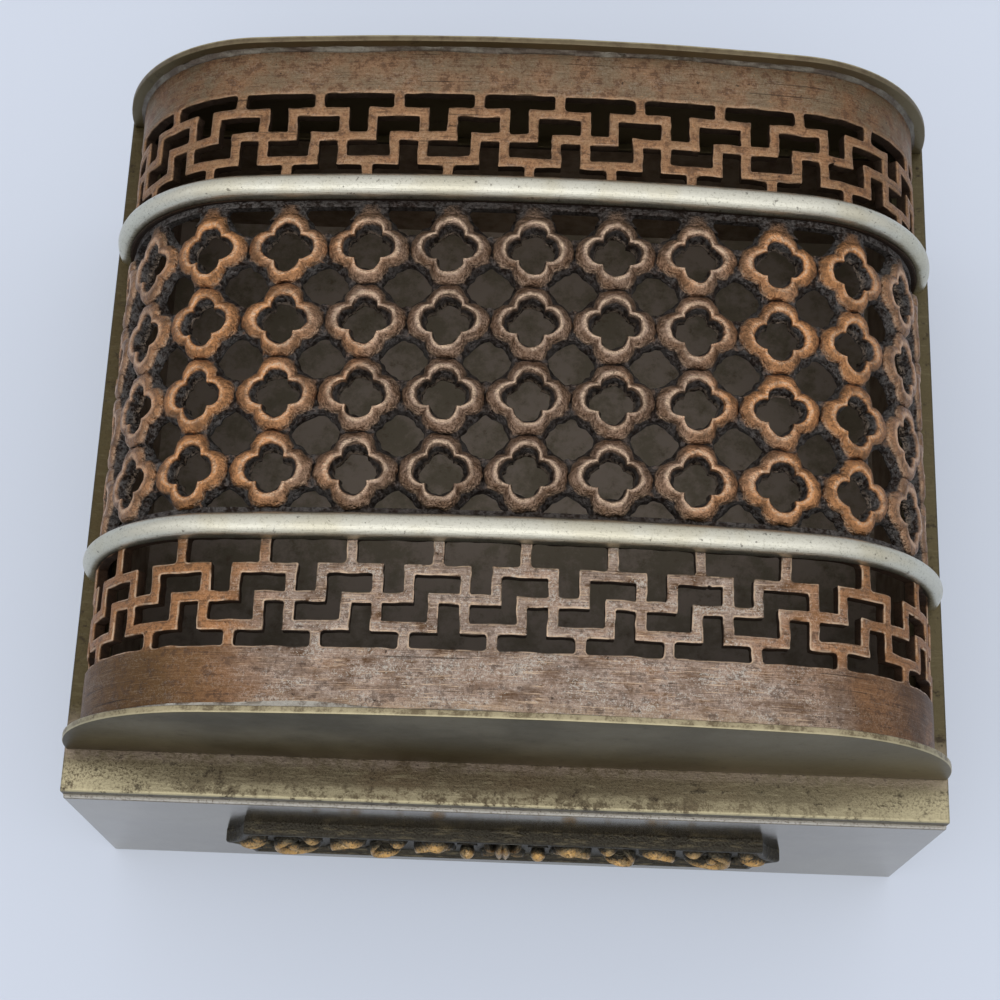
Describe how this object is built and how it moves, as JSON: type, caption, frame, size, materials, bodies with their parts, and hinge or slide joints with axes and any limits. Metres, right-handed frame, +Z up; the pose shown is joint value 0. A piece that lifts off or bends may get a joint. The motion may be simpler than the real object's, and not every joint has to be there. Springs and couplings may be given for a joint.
{
  "type": "hinged trinket box",
  "caption": "Low rectangular metal box with a hinged, loaf-shaped lid of pierced copper in a key fret and a quatrefoil lattice.",
  "frame": {"origin": "on the underside of the box, under the middle of the lid's flange", "axes": "+X to the right of a person facing the plaque, +Y from the plaque to the hinge, +Z up"},
  "size_m": [0.115, 0.1129, 0.0663],
  "materials": {
    "wall_brass": "polished, slightly tarnished brass",
    "floor_brass": "dull, darkened brass",
    "plaque_brass": "cast brass, dark in the field and rubbed bright on the relief",
    "hinge_brass": "satin brass",
    "lid_brass": "satin brass with dark patches",
    "fret_copper": "brown, worn copper",
    "lattice_copper": "cast copper, dark in the recesses",
    "band_metal": "pale silvery metal, polished"
  },
  "bodies": {
    "box": {"floor_plate": "floor_brass", "front_wall": "wall_brass", "back_wall": "wall_brass", "left_wall": "wall_brass", "right_wall": "wall_brass", "front_plaque": "plaque_brass", "body_hinge_leaf": "hinge_brass", "hinge_pin": "hinge_brass"},
    "lid": {"lid_flange": "lid_brass", "lid_hinge_leaf": "hinge_brass", "front_end_plate": "lid_brass", "rear_end_plate": "lid_brass", "front_fret_sheet": "fret_copper", "rear_fret_sheet": "fret_copper", "lattice_panel": "lattice_copper", "front_band": "band_metal", "rear_band": "band_metal"}
  },
  "joints": [
    {"name": "lid_hinge", "type": "hinge", "parent": "box", "child": "lid", "pos_m": [0, 0.05385, 0.0385], "axis": [-1, 0, 0], "range_deg": [0, 105]}
  ]
}
